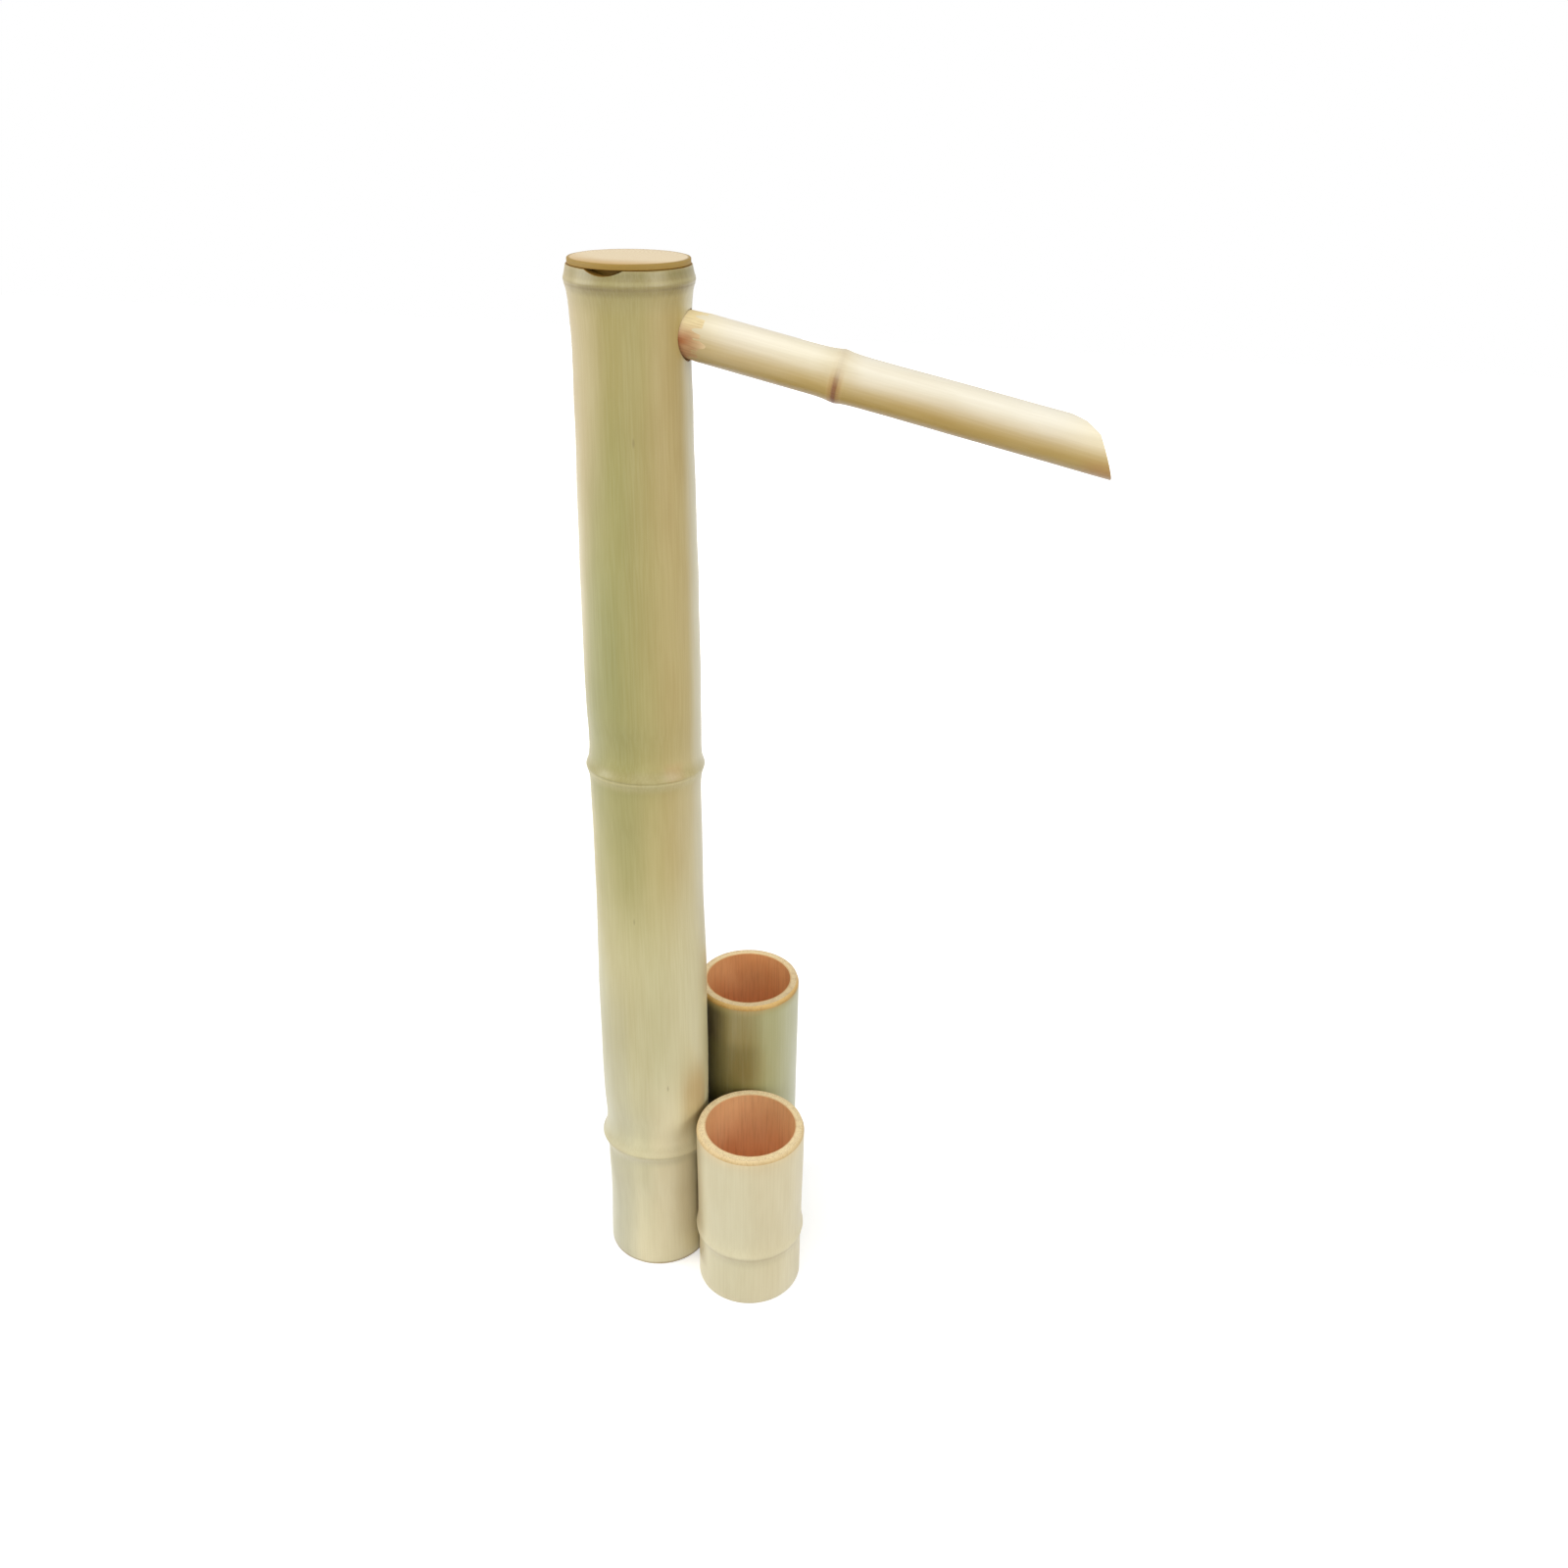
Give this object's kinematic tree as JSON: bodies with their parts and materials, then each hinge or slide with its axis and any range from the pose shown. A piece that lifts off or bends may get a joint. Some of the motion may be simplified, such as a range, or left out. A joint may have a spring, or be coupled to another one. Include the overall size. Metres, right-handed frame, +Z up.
{
  "type": "bamboo water spout",
  "caption": "Upright bamboo post with a lift-off lid and a sloping pull-out bamboo spout near its top, hose inside, and open bamboo cups at its foot.",
  "frame": {"origin": "on the ground, under the middle of the whole object's plan outline", "axes": "+Z up along the post; +X from the post along the spout; +Y towards the back, where the hose inlet and the tall cup are"},
  "size_m": [0.3242, 0.1596, 0.75],
  "materials": {
    "bamboo_green": "green-tan dried bamboo skin, satin",
    "bamboo_pale": "pale cream bamboo skin, satin",
    "bamboo_cream": "cream bamboo skin, satin, orange-brown inside",
    "bamboo_olive": "olive bamboo skin, satin, orange-brown inside",
    "lid_wood": "plain light wood, sanded",
    "clear_vinyl": "clear flexible tubing",
    "black_rubber": "matte",
    "black_plastic": "moulded plastic",
    "steel": "plain zinc-plated"
  },
  "bodies": {
    "post": {"post_culm": "bamboo_green", "water_hose": "clear_vinyl", "hose_inlet": "black_plastic", "short_cup": "bamboo_cream", "tall_cup": "bamboo_olive", "short_screw_1": "steel", "short_screw_2": "steel", "tall_screw_1": "steel", "tall_screw_2": "steel"},
    "lid": {"top_lid": "lid_wood"},
    "bush": {"hose_bush": "black_rubber"},
    "spout": {"spout_arm": "bamboo_pale"}
  },
  "joints": [
    {"name": "lid_lift", "type": "slide", "parent": "post", "child": "lid", "axis": [0, 0, 1], "range_m": [0, 0.03]},
    {"name": "spout_pull", "type": "slide", "parent": "post", "child": "bush", "axis": [0.9781, 0, -0.2079], "range_m": [0, 0.06]},
    {"name": "spout_twist", "type": "hinge", "parent": "bush", "child": "spout", "pos_m": [-0.11991, -0.01533, 0.7164], "axis": [0.9781, 0, -0.2079], "continuous": true}
  ]
}
